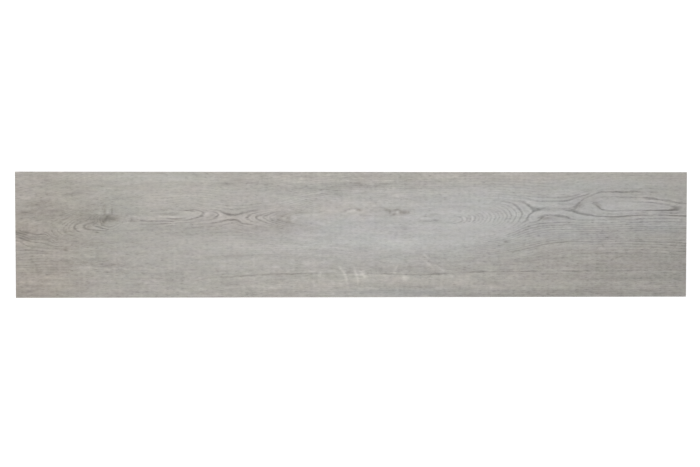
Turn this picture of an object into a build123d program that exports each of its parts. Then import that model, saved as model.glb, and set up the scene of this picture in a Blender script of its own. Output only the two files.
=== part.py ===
from build123d import *
import os

# A wood-look luxury vinyl floor plank: one flat, solid, laminated strip of vinyl, 48 in by 9 in nominal.
# It lies face up on the XY plane. X runs along its length and the grain, Y across it, and Z out of its
# wear face. The origin is the middle of its back, where it is glued to the floor. Sizes are millimetres.

# Nominal 48 in, as such planks are cut.
PLANK_LENGTH = 1220.0
# Nominal 9 in.
PLANK_WIDTH = 228.0
PLANK_THICKNESS = 3.0
# The shallow bevel pressed round all four edges of the wear face, seen from above and from the side.
BEVEL_WIDTH = 0.9
BEVEL_DEPTH = 0.5
# The back's edges, eased by the punch that cuts the plank out of its sheet.
BACK_EASE = 0.2


def make_vinyl_plank():
    """The whole plank: a plain strip, bevelled round its wear face and eased round its back."""
    strip = Box(
        PLANK_LENGTH,
        PLANK_WIDTH,
        PLANK_THICKNESS,
        align=(Align.CENTER, Align.CENTER, Align.MIN),
    )
    wear_face = strip.faces().sort_by(Axis.Z)[-1]
    bevelled = chamfer(wear_face.edges(), BEVEL_WIDTH, BEVEL_DEPTH, reference=wear_face)
    back_face = bevelled.faces().sort_by(Axis.Z)[0]
    return chamfer(back_face.edges(), BACK_EASE)


os.makedirs("parts", exist_ok=True)
vinyl_plank = make_vinyl_plank()
export_step(vinyl_plank, "parts/vinyl_plank.step")
print("vinyl_plank", round(vinyl_plank.volume), "mm3", vinyl_plank.bounding_box().size)
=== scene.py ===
# %% [markdown]
# # A wood-look vinyl floor plank
# The real plank is one strip of limestone-filled vinyl. Its face is a printed film of limed grey oak under a
# clear satin wear layer, and a steel plate presses the grain into it. Everything the eye enjoys is in that
# face, so most of this lesson is about drawing oak: first its growth rings, then its fibres and pores.
#
# The solid model gives the true size, so we start by loading it and reading its box. All lengths below are
# in millimetres, along the plank (x), across it (y) and up (z), and only the finished mesh is in metres.

# %% Load the solid and read its size
import math
import bpy
import numpy as np
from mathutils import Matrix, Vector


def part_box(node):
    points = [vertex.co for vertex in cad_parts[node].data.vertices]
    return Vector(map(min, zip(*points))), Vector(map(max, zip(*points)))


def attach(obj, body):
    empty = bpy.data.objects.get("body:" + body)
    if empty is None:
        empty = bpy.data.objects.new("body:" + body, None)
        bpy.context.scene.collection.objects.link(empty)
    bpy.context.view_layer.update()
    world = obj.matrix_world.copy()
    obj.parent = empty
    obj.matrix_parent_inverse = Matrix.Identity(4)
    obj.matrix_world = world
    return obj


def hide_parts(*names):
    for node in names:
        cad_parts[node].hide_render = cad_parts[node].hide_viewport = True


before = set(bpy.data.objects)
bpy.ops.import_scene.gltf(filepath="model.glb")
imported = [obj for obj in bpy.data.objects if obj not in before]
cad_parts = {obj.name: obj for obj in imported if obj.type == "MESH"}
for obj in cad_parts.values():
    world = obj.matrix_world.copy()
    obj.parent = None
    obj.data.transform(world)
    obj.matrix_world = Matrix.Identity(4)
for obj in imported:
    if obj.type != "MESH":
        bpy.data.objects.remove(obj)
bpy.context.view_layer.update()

MM = 0.001
low, high = (np.array(corner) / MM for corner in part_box("vinyl_plank"))
LENGTH, WIDTH, THICKNESS = high - low
HALF_LENGTH = LENGTH / 2
HALF_WIDTH = WIDTH / 2
print("plank", LENGTH.round(1), "x", WIDTH.round(1), "x", THICKNESS.round(1), "mm")

# %% [markdown]
# ## The growth rings
# A plank is a flat cut through a trunk, and a trunk is a stack of cones. The cut meets each cone in one
# line, so the figure is a contour map: closed islands where the trunk bulges, and a waist where two islands
# meet. We could draw each dark line as a curve, but a contour map is better. We number the rings, mark a few
# points on each one, and let one smooth hill pass through all of them. Every other ring then follows
# by itself, and rings never cross, just as in wood.
#
# Each row is one ring: its number, then points as (along, across, boldness from 0 to 1). Numbers rise
# outwards from the islands. First comes the waist, the narrow neck between the two islands on the right.

# %% Rings of the waist
WAIST_RINGS = [
    (0, [(225, 66, .2), (250, 65, .3), (275, 64, .3), (293, 62, .4), (305, 60, .6), (314, 57, .9),
         (321, 52, 1), (327, 48, 1), (332, 45, 1), (345, 45.5, .7), (355, 45, .3), (365, 45, .2),
         (378, 45, .3), (390, 44.5, .8), (401, 43, 1)]),
    (0, [(328, 41, 1), (322, 37, 1), (317.5, 32, 1), (316.5, 27, .9), (311, 23, .7), (303, 18, .4),
         (288, 10, .2), (262, 3, .2), (225, -3, .1), (170, -8, 0), (100, -10, 0), (0, -6, 0), (-80, 2, 0)]),
    (1, [(225, 71, 0), (265, 70, .4), (300, 67, .4), (316, 66, .6), (325, 63.5, .8), (334, 61, .5),
         (350, 60.5, .8), (370, 61, .8), (388, 61.5, .9), (398, 64, .8), (410, 68, .7), (425, 73, .7),
         (440, 79, .2), (480, 84, .1), (505, 84, .4), (530, 84, .4), (570, 82, .1), (609, 79, .1)]),
    (2, [(225, 75, 0), (275, 73, .4), (300, 71, .5), (330, 68.5, .5), (350, 68, .6), (380, 68, .5),
         (395, 70, .5), (415, 75, .5), (440, 83, .1), (510, 89, .1), (609, 86, 0)]),
    (3, [(225, 79, 0), (300, 76, .3), (350, 72, .3), (400, 75, .1), (440, 88, 0), (510, 94, 0),
         (609, 92, 0)]),
    (1, [(304, 13, .4), (315, 19, .5), (328, 22.5, .6), (337, 25, .7), (342, 29, .7), (345, 33, .8),
         (350, 35, .8), (360, 35.5, .6), (370, 34, .8), (382, 33, .8), (391, 31, .8), (397, 28.5, .7),
         (410, 27, .5), (430, 26.5, .3), (460, 26.5, .5), (490, 27.5, .4), (510, 27, .6), (530, 28.5, .7),
         (560, 29, .7), (609, 28, .3)]),
    (2, [(304, 9, .6), (320, 15, .7), (340, 20, .8), (360, 21, .7), (400, 21.5, .7), (500, 22.5, .5),
         (609, 22.5, .4)]),
    (3, [(304, 4.5, .6), (320, 10.5, .7), (340, 15.5, .7), (360, 17, .7), (400, 17.5, .7), (500, 18.5, .5),
         (609, 19, .4)]),
    (4, [(304, 0, .6), (320, 6, .7), (340, 11, .7), (360, 13, .7), (400, 13.5, .7), (500, 14.5, .6),
         (609, 15.5, .4)]),
    (5, [(304, -4.5, .5), (320, 1.5, .6), (340, 6.5, .6), (360, 9, .6), (400, 9.5, .6), (500, 10.5, .7),
         (609, 11.5, .5)]),
    (6, [(304, -9, .3), (320, -3, .5), (340, 2, .5), (360, 5, .5), (400, 5.5, .5), (500, 6.5, .5),
         (609, 7.5, .2)]),
    (8, [(304, -17, .1), (340, -7, .2), (400, -2.5, .2), (500, -1, .2), (609, 0, .2)]),
    (11, [(225, -38, .3), (260, -35, .5), (300, -29, .6), (330, -22, .7), (350, -18, .7), (375, -14.5, .7),
          (400, -12.5, .5), (500, -12, .6), (590, -15, .6), (609, -16, .6)]),
    (12, [(260, -39.5, 0), (300, -33.5, 0), (350, -23, 0), (400, -17.5, 0)]),
]
print(len(WAIST_RINGS), "rings of the waist")

# %% Rings of the right island
RIGHT_ISLAND = [
    (0, [(404, 47, .8), (407, 52, .7), (412, 58, .6), (420, 64, .6), (431, 69, .6), (440, 74, .7),
         (450, 77, .9), (480, 78, 1), (510, 78, .8), (540, 78, .5), (570, 76, .1), (609, 72, 0)]),
    (0, [(408, 40, 1), (420, 37, 1), (430, 35.5, 1), (450, 33.5, 1), (470, 32.5, 1), (490, 33, 1),
         (510, 34.5, 1), (530, 35.5, .8), (550, 36, .8), (570, 35.5, .8), (590, 34.5, 1), (609, 34, 1)]),
    (-1, [(422, 55, 0), (430, 46, 0), (450, 40, 0), (500, 39, 0), (550, 40, 0), (609, 41, 0)]),
    (-1, [(430, 62, 0), (445, 66, .2), (460, 69, .4), (485, 68.5, .6), (510, 67.5, .5), (530, 67, .8),
          (545, 65.5, 1), (560, 63.5, .8), (580, 61, .8), (592, 58, .9), (609, 56, .5)]),
    (-2, [(437, 56.5, .5), (448, 59.5, .3), (470, 60, .2), (500, 60.5, .2), (525, 59.5, .6),
          (545, 58.5, .9), (560, 56, .5), (577, 53, .6), (590, 50, .8), (600, 47.5, .5)]),
    (-2, [(442, 54, .5), (448, 50, .6), (453, 46.5, .9), (460, 44.5, 1), (470, 43, .7), (485, 43.5, .7),
          (500, 44, .6), (520, 44, .7), (540, 44, 1), (560, 44, 1), (575, 44, 1), (588, 45.5, 1)]),
    (-2.6, [(480, 52, 0), (520, 52, 0), (555, 50, 0)]),
]
print(len(RIGHT_ISLAND), "rings of the right island")

# %% [markdown]
# The round island is left of the waist. Its rings are bold only at its right tip, where they stand across
# the grain like a row of brackets, and they fade along its flanks. So a row is boldest in its middle.

# %% Rings of the round island
ROUND_ISLAND = [
    (-1, [(225, 63, .2), (255, 62, .3), (275, 60, .5), (287, 57.5, .7), (295, 54, .8), (301, 48, .9),
          (306, 42, .9), (307, 36, .8), (304.5, 30, .7), (302, 25, .5), (297, 20, .3), (285, 12, .2),
          (258, 6, .2), (225, 1, .1)]),
    (-2, [(245, 60, .2), (265, 57, .3), (280, 53, .4), (290, 47.5, .6), (296, 41, .7), (297.5, 36, .7),
          (295, 30, .6), (291, 24, .5), (284, 18, .2), (265, 9, .2), (225, 5, .1)]),
    (-3, [(240, 58, .2), (262, 54, .2), (276, 49, .4), (284, 43, .6), (287.5, 37, .7), (286, 30, .6),
          (282, 24, .5), (275, 18, .1)]),
    (-4, [(240, 55.5, .2), (258, 51.5, .2), (269, 47, .4), (277, 41, .6), (280, 35.5, .6), (278.5, 29, .6),
          (274.5, 23, .5), (268, 17, .1)]),
    (-5, [(235, 53, .2), (252, 49, .2), (264, 44, .3), (270, 39, .5), (272.5, 34, .5), (271, 27.5, .5),
          (266, 21, .3), (225, 12, 0)]),
    (-6, [(235, 50, 0), (250, 46, .1), (259, 42, .3), (264.5, 37, .5), (265.5, 33, .5), (264, 27, .45),
          (259, 21, .2)]),
    (-7, [(225, 49, 0), (245, 44, 0), (254, 40, .4), (258.5, 35, .6), (259, 31, .6), (256, 25, .5),
          (251, 20, .1)]),
    (-9, [(215, 46, 0), (232, 42, 0), (240, 38, .4), (243.5, 33, .6), (243.5, 29, .6), (240, 24, .4),
          (233, 19, .1)]),
    (-11, [(200, 43, 0), (218, 40, 0), (226, 36, .4), (229, 31, .6), (228, 27, .55), (223, 22, .2),
           (15, 40, 0)]),
    (-13, [(185, 41, 0), (203, 38, 0), (211, 34, .4), (214, 29, .65), (212, 24, .5), (205, 20, .1),
           (90, 40, 0)]),
    (-15, [(165, 37, 0), (185, 34.5, .1), (195, 31, .6), (199, 27, .7), (194, 23, .7), (180, 20.5, .4),
           (160, 19, 0)]),
    (-15.5, [(150, 28, .1), (175, 28, .1)]),
    (-5, [(200, 54, 0), (100, 57, 0), (0, 57, 0), (150, 7, 0), (50, 4, 0)]),
]
print(len(ROUND_ISLAND), "rings of the round island")

# %% [markdown]
# Left of the middle, two more islands almost touch. Their tips point at each other and make a small cross.
# The left one runs on as thin lines to a knot, which is the lowest point of the map on that side.

# %% Rings of the cross and the knot
CROSS_RINGS = [
    (0, [(-130, 50, .2), (-160, 48, .3), (-180, 44, .6), (-195, 40.5, .8), (-205, 38, .9), (-214, 35.5, 1),
         (-222, 35.5, 1), (-232, 38.5, 1), (-239, 41.5, .8), (-248, 44.5, .7), (-262, 47, .3),
         (-280, 51, .4), (-300, 53, .5), (-320, 52, .3), (-345, 50, .1), (-400, 52, 0)]),
    (0, [(-110, 5, 0), (-150, 12, 0), (-175, 16, .3), (-190, 19, .8), (-203, 21.5, .8), (-208, 25.5, .8),
         (-215, 27.5, 1), (-225, 27, 1), (-238, 24.5, .8), (-250, 22, .8), (-270, 20, .4), (-310, 18, .1),
         (-350, 14, .1), (-400, 9, 0)]),
    (-0.45, [(-218, 31.5, 0)]),
    (-1, [(-265, 44.5, .2), (-255, 42, .5), (-248, 39.5, .8), (-245, 36.5, 1), (-247, 33, .9),
          (-254, 29, .5), (-270, 25.5, .3), (-300, 22, .5), (-330, 20.5, .7), (-345, 20, .8),
          (-370, 18.5, .3), (-400, 16.5, .2)]),
    (-2, [(-310, 48, .2), (-290, 46, .6), (-278, 43, .8), (-271.5, 38.5, 1), (-275, 35, .9),
          (-285, 30.5, .8), (-300, 27, .5), (-340, 25, .8), (-375, 24.5, .8), (-403, 24.5, .6)]),
    (-3, [(-330, 45, .2), (-310, 44.5, .8), (-296, 43.5, .8), (-288, 39, .1), (-296, 34, .1),
          (-310, 30, .6), (-325, 28.5, .9), (-340, 30.5, .2), (-370, 32, .1), (-400, 32, .1)]),
    (-4, [(-315, 38, 0), (-335, 37, .4), (-352, 37, .4)]),
    (-5, [(-400, 35, 0), (-425, 34, 0)]),
    (-8, [(-439, 29, 0)]),
    (-1, [(-150, 44, .3), (-170, 41, .5), (-182, 37.5, .7), (-190, 34, .9), (-194, 31.5, 1),
          (-190, 28.5, .7), (-183, 24, .4), (-170, 20.5, .2)]),
    (-2, [(-155, 39.5, .5), (-165, 37, .6), (-172, 34, .8), (-176.5, 31.5, .9), (-172, 27.5, .8),
          (-164, 23.5, .6)]),
    (-3, [(-143, 41, .6), (-152, 37.5, .7), (-159, 34.5, .8), (-163, 32, .7), (-158, 28, .8),
          (-151, 24, .7)]),
    (-4, [(-138, 37, .3), (-147, 34, .4), (-152, 31.5, .5), (-148, 27, .4)]),
    (-6, [(-125, 31, 0)]),
    (-7, [(-100, 32, 0)]),
    (-9, [(-50, 36, 0)]),
    (1, [(-130, 56, .3), (-180, 50, .3), (-200, 47, .5), (-220, 46, .6), (-235, 47.5, .6), (-250, 50, .3),
         (-300, 58, .2), (-400, 57, 0)]),
    (1, [(-150, 6, 0), (-190, 13, .2), (-215, 20, .2), (-250, 16, .2), (-310, 10, .2), (-400, 2, 0)]),
    (3, [(-200, 58, .5), (-230, 59, .5)]),
    (5, [(-205, 66, .5), (-225, 66, .4)]),
]
print(len(CROSS_RINGS), "rings of the cross")

# %% [markdown]
# The rings swing round the knot as nested brackets, and past them the left end is a fan of lines that
# narrows towards the brackets.

# %% Rings of the left end
LEFT_RINGS = [
    (-4, [(-437, 10, .4), (-450, 11, 1), (-461, 14, .8), (-470, 18, .6)]),
    (-3, [(-443, 6.5, .4), (-458, 7.5, .9), (-470, 9, .7), (-484, 11, .8), (-486, 15, .8), (-479, 20, .6),
          (-468, 24, .3)]),
    (-2, [(-480, 4.5, .4), (-493, 5.5, .9), (-501, 9, 1), (-504, 13, 1), (-501, 18, .8), (-490, 24, .2)]),
    (-1, [(-480, 1.5, .1), (-505, 3, .3), (-512, 7, .4), (-514, 12, .4), (-511, 18, .7), (-500, 26, .1)]),
    (0, [(-510, 0, .2), (-521, 5, .5), (-523, 10, .5), (-519, 17, .5), (-508, 25, .5), (-490, 34, 0)]),
    (1, [(-515, -3, .2), (-530, 3, .5), (-534, 8, .6), (-530, 14, .1), (-520, 22, .6), (-508, 30, .2)]),
    (2, [(-515, -6, .2), (-540, 1, .4), (-544, 6, .6), (-540, 13, .1), (-525, 26, .3)]),
    (3, [(-520, -9, .4), (-548, -2, .5), (-557, 5, .6), (-552, 14, .1), (-538, 26, .4)]),
    (4, [(-520, -12, .3), (-540, -8, .5), (-552, -1.5, .9), (-565, 0, 1), (-580, 1.5, .9), (-590, 4, .8),
         (-600, 6.5, .7)]),
    (5, [(-515, -16, .3), (-535, -14, .7), (-545, -7, .4), (-556, -3.5, .4), (-570, -4, .4),
         (-583, -3, .5), (-595, 1, .7), (-609, 4.5, .6)]),
    (6, [(-510, -18, .1), (-530, -17, .6), (-545, -13, .8), (-556, -9, .2), (-580, -7.5, .6),
         (-590, -5, .8), (-600, -1.5, .8), (-609, 1, .6)]),
    (7, [(-515, -22, .2), (-535, -21, .6), (-550, -18, .7), (-580, -12.5, .6), (-590, -10, .8),
         (-600, -6, .8), (-609, -3, .6)]),
    (8, [(-575, -22, .6), (-590, -20, .5), (-600, -13, .6), (-609, -10, .5)]),
    (9, [(-520, -29, .1), (-565, -29.5, 1), (-590, -28, 1), (-609, -28, .8)]),
    (10, [(-515, -34, .1), (-570, -33, .6), (-590, -33.5, .4), (-609, -36, .5)]),
    (8, [(-609, 27, 0), (-560, 42, 0), (-500, 58, 0)]),
]
print(len(LEFT_RINGS), "rings of the left end")

# %% [markdown]
# Away from the islands the grain is nearly straight. One long line stands out near the front edge. The two
# beside it have boldness 0: they don't print, and only keep the hill from turning there.

# %% Straight grain above and below the islands
STRAIGHT_GRAIN = [
    (20, [(609, -65, .7), (500, -66, .8), (400, -66.5, .9), (320, -67, .9), (230, -67.5, .8),
          (150, -72, .7), (100, -73, .7), (60, -71, .8), (30, -70.5, .5), (0, -70, .4), (-60, -70, .4),
          (-90, -70.5, .6), (-150, -72, .7), (-200, -75, .6), (-250, -78, .6), (-275, -81, .6),
          (-293, -88, .3), (-450, -84, 0), (-609, -80, 0)]),
    (19, [(609, -59.5, 0), (500, -60.5, 0), (400, -61, 0), (320, -61.5, 0), (230, -62, 0), (160, -66, 0),
          (100, -67.5, 0), (50, -66, 0), (0, -64.5, 0), (-60, -64.5, 0), (-150, -66.5, 0),
          (-200, -69.5, 0), (-270, -73, 0)]),
    (21, [(609, -70.5, 0), (500, -71.5, 0), (400, -72, 0), (320, -72.5, 0), (230, -73, 0), (160, -77.5, 0),
          (100, -78.5, 0), (50, -77, 0), (0, -75.5, 0), (-60, -75.5, 0), (-150, -77.5, 0),
          (-200, -80.5, 0), (-280, -89, 0)]),
    (31, [(609, -110, .2), (450, -112, .2), (300, -113, .2), (150, -114, .2), (0, -114, .2),
          (-150, -114, .2), (-300, -117, .2), (-450, -118, .1), (-609, -122, .1)]),
    (14, [(500, -28, .4), (455, -28, .4), (570, -29, .4)]),
    (9, [(609, 118, .1), (440, 115, .1), (300, 106, .1), (150, 106, .2), (0, 104, .2), (-100, 97, .3),
         (-200, 88, .3), (-300, 90, .2), (-400, 86, .1)]),
    (14, [(-609, 52, .1), (-500, 80, .1), (-400, 106, .1), (-300, 114, .1), (-150, 118, .1)]),
    (26, [(-609, 108, .1), (-500, 132, .1)]),
]
ring_points = np.array([
    (x, y, number, bold)
    for rows in (WAIST_RINGS, RIGHT_ISLAND, ROUND_ISLAND, CROSS_RINGS, LEFT_RINGS, STRAIGHT_GRAIN)
    for number, points in rows
    for x, y, bold in points
])
print(len(ring_points), "points on all the rings")

# %% [markdown]
# The smooth hill is a thin plate spline, the shape a springy sheet takes when it is pushed to each ring's
# height at that ring's points. Each point adds one bump of the same form, squared distance times its
# logarithm, and solving one set of equations gives every bump's strength. Wood figure is drawn out along the
# trunk, so lengths along the plank are shortened before any distance is taken.

# %% Fit a smooth hill through the rings
ALONG_SHARE = 0.4
SLACK = 0.3
LEAST_SQUARE = 1e-9
anchors = ring_points[:, :2] * (ALONG_SHARE, 1)


def plate_bump(squared):
    """A thin plate's bump at a squared distance: that number times its own natural logarithm."""
    return squared * np.log(np.maximum(squared, LEAST_SQUARE))


def fit_plate(places, heights):
    """Strength of each point's bump, then a height, a slope along and a slope across, from one linear solve.

    The plate meets every height within a little slack, and its bumps balance, so it is flat far away."""
    count = len(places)
    apart = ((places[:, None] - places[None]) ** 2).sum(-1)
    plane = np.column_stack((np.ones(count), places))
    system = np.block([
        [plate_bump(apart) + SLACK * np.eye(count), plane],
        [plane.T, np.zeros((3, 3))],
    ])
    return np.linalg.solve(system, np.append(heights, np.zeros(3)))


plate = fit_plate(anchors, ring_points[:, 2])


def ring_number(x, y):
    """Height of the fitted plate: its plane plus every point's bump at its distance from (x, y)."""
    short = x * ALONG_SHARE
    height = plate[-3] + plate[-2] * short + plate[-1] * y
    for (anchor_x, anchor_y), strength in zip(anchors, plate):
        height = height + strength * plate_bump((short - anchor_x) ** 2 + (y - anchor_y) ** 2)
    return height


print("ring number at the plank's middle", round(float(ring_number(np.zeros(1), np.zeros(1))[0]), 2))

# %% [markdown]
# The boldness needs no smooth hill. A place takes it from the points near it, as a mean in which the nearest
# ones count most.

# %% How boldly each ring is printed
RING_GAP = 7.0
SOFTENING = 2.0


def ring_boldness(x, y, number):
    """Mean boldness of all the points, each weighted by one over its softened squared distance, squared.

    A difference of one ring counts as a distance too, so a faint ring stays faint beside a bold one."""
    short = x * ALONG_SHARE
    total = np.zeros_like(x)
    weights = np.zeros_like(x)
    for (anchor_x, anchor_y), (point_number, point_bold) in zip(anchors, ring_points[:, 2:]):
        apart = (short - anchor_x) ** 2 + (y - anchor_y) ** 2 + (RING_GAP * (number - point_number)) ** 2
        weight = (apart + SOFTENING) ** -2
        total += weight * point_bold
        weights += weight
    return total / weights


print("one ring apart counts as", RING_GAP, "mm")

# %% [markdown]
# ## Knots, flecks and broad tones
# Knots are the dark roots of branches, and flecks are pale slivers where the cut runs along a ray. Each is
# built from a few soft oval blots, tilted and laid over each other as a painter would lay strokes. A row
# gives an oval's place, its two half lengths, its tilt and how much it darkens or lightens the wood.

# %% The knot on the left
LEFT_KNOT = [
    # along, across, half length, half width, tilt in degrees, change of tone
    (-441, 29, 20, 9, 0, -.06), (-448, 26.5, 9, 2.6, 60, -.085), (-440.5, 29, 6.5, 2.2, 85, -.06),
    (-433, 29, 8, 4.5, 0, -.07), (-432, 27.5, 4, 1.8, 0, -.035), (-443, 34.5, 5, 2, 10, -.05),
    (-462, 27, 15, 9, 0, -.06), (-482, 29, 24, 9, 0, -.045), (-449.5, 42, 7, 1.8, 85, -.075),
    (-436.5, 45, 6, 1.6, 90, -.06), (-443.5, 42, 5, 2, 88, .06), (-438.8, 41, 4.5, 1.6, 88, .03),
    (-451, 51, 5, 2, 60, -.05), (-454, 57, 5, 2, 45, -.025), (-431, 53, 7, 1.5, -5, -.03),
    (-457.5, 39, 7, 2.6, 0, .045), (-470, 44.5, 12, 1.7, 8, -.05), (-492, 40, 20, 5, 0, -.03),
    (-411, 34.5, 3.4, 1.8, 0, -.06), (-401, 29.5, 3.6, 2.4, 20, -.07), (-400, 24.5, 8, 1.3, 0, -.04),
    (-481, 12.5, 7, 4, 0, -.045), (-505, 11, 4, 5, 0, -.035), (-519, 10, 3.5, 8, 0, -.03),
    (-452, 26, 8, 3, 62, -.04), (-520.5, -27, 3, 3, 0, -.09), (-568, -67, 7, 2.5, 10, -.055),
    (-560, 58, 22, 4, 0, -.03), (-582, 40, 22, 4, 0, -.03), (-595, -1, 13, 4, -34, -.058),
    (-595, -7, 13, 3, -32, -.055), (-583, 5, 9, 1.8, -18, -.04), (-531, 24, 11, 2, 28, -.035),
    (-522, 27, 10, 1.8, 28, -.03), (-388, 24.5, 20, 1.5, 0, -.035), (-322, 28.3, 14, 1.9, 2, -.055),
    (-335, 37, 22, 2, 0, -.035), (-340, 32, 32, 1.8, 0, .035), (-298, 30, 16, 2.6, 12, .04),
    (-322, 22.6, 26, 1.4, 3, .035), (-342, 20.3, 11, 1.3, 0, -.04), (-296, 38.5, 18, 3.4, 0, .03),
    (-264, 37.5, 7, 3, 0, .04), (-576, 55, 18, 5, -12, -.05), (-562, 61, 4, 3, 0, -.05),
    (-595, 41, 12, 4, 0, -.045), (-298, 44, 15, 2, 0, -.055), (-319, 39, 9, 2, 22, -.03),
    (-435, -62, 20, 1.6, 10, .045), (-452, -68, 10, 1.6, 8, -.035), (-440, -55, 16, 1.6, 10, -.035),
    (-530, -58, 4, 2.4, 0, .05), (-487, -50, 6, 1.5, 0, -.04), (-500, -54, 12, 1.5, -3, -.03),
    (-397, -54, 5, 1.5, 0, .045), (-585, -103, 16, 1.5, 14, -.035), (-560, -98, 16, 1.4, 4, -.03),
]
print(len(LEFT_KNOT), "strokes in and near the left knot")

# %% The small knots and the cross in the middle
MIDDLE_KNOTS = [
    (61, 45.5, 6, 2.8, -20, -.085), (66.5, 41, 2.8, 3.6, 0, -.08), (78, 44.8, 7, 1.8, 12, -.085),
    (74, 37, 4.6, 2.2, 15, -.1), (80, 40.5, 2.4, 2.6, 0, .075), (85.5, 40.2, 2.8, 2.8, 0, -.07),
    (92.5, 40.5, 8, 3.6, 0, -.115), (100.5, 40.5, 2, 2.4, 0, -.055), (92, 46.8, 6.5, 1.4, 0, .03),
    (109, 38.5, 2.6, 1.6, 0, -.035), (92, 13, 12, 7, 0, -.028), (76, 2, 8, 14, 0, -.01),
    (77, 41, 24, 9, 0, -.032), (278, -12.5, 4, 2.8, 0, -.095), (10, 45, 6.5, 2.2, -12, -.115),
    (2, 44.8, 2.8, 1.8, 0, .06), (-15.5, 43, 2.4, 1.8, 0, -.055), (-4, 43.5, 7, 1.6, 0, .045),
    (-8, 46, 7, 1.3, 16, -.06), (-8, 41, 8, 1.7, 16, .035), (9, 38.5, 9, 1.5, 16, .03),
    (20, 34.5, 8, 1.2, 0, -.05), (19, 29.5, 7, 1.2, 0, -.05), (20, 43.8, 8, 1.3, 5, .03),
    (149, 26.5, 7, 2, -12, -.085), (132, 24.5, 14, 1.6, 3, -.05), (144, 36, 13, 1.8, 5, -.06),
    (128, 29.5, 14, 1.8, 0, .03), (130, 33, 13, 1.3, 3, -.045), (-225, 37.4, 10, 2.8, -8, -.075),
    (-213, 26.5, 8, 2.4, -8, -.065), (-226, 26, 12, 2, 4, -.04), (-210, 22, 6, 1.8, 0, -.035),
    (-240, 35, 4.5, 5, 0, .055), (-226, 31.5, 9, 2, 0, .04), (-192.5, 31, 3.4, 3, 0, -.04),
    (-176, 32.5, 3.6, 3.5, -30, -.045), (-128, 24, 17, 16, 0, -.055), (-117, 30, 3, 4, 0, -.065),
    (-129, 34, 7, 2, 0, -.06), (-135, 27, 4, 2.4, 0, -.045), (-126, 29.5, 3, 1.8, 0, .05),
    (-116, 24, 4, 2.2, 0, -.055), (-108, 28, 5, 1.6, 25, .05), (-119, 37.5, 5, 1.2, 5, -.04),
    (209, 29, 2.4, 4.6, 0, -.045), (222.5, 30, 2.4, 4.6, 0, -.045), (234, 32, 2.2, 5, 0, -.025),
    (202.5, 29, 3, 4.6, 0, .05), (216, 30, 2.4, 4.6, 0, .045), (180, 21.5, 14, 1.4, 0, -.035),
    (-78, 36, 28, 2.6, 6, .045), (-60, 41.5, 9, 1.5, 15, -.055), (-96, 40, 14, 1.6, 5, -.035),
]
print(len(MIDDLE_KNOTS), "strokes in and near the middle knots")

# %% Dark places at the waist and in the right island
WAIST_KNOTS = [
    (402, 41.5, 7, 3.2, -15, -.03), (412, 53, 9, 5.5, 50, -.085), (446, 53, 10, 4.5, -42, -.115),
    (337, 44.5, 7, 2.2, 8, -.045), (365, 45, 22, 3, 0, -.022), (352, 30.5, 13, 3.8, 0, -.08),
    (343, 30.5, 6, 5, 0, -.045), (380, 33, 14, 2.4, -8, -.04), (586, 47, 10, 3.8, 8, -.105),
    (322, 43, 8, 2.5, 45, .035), (330, 32, 6, 4, 60, .03), (408, 66, 9, 2, 25, .02),
    (478, 32.6, 26, 1.7, 0, -.05), (522, 34.8, 24, 1.7, 3, -.05), (557, 44.3, 18, 1.7, 1, -.055),
    (588, 34.2, 22, 1.6, -2, -.05), (480, 77.5, 44, 2.6, 0, -.035), (408, 48, 22, 12, 0, -.028),
    (320, 36, 3.5, 7, 20, -.025), (326, 48, 7, 3, -45, -.025),
]
print(len(WAIST_KNOTS), "strokes at the waist")

# %% [markdown]
# The pale flecks gather along the long line near the front edge. A fleck shows by the dark wood beside it,
# so this list holds soft dark streaks too.

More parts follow.
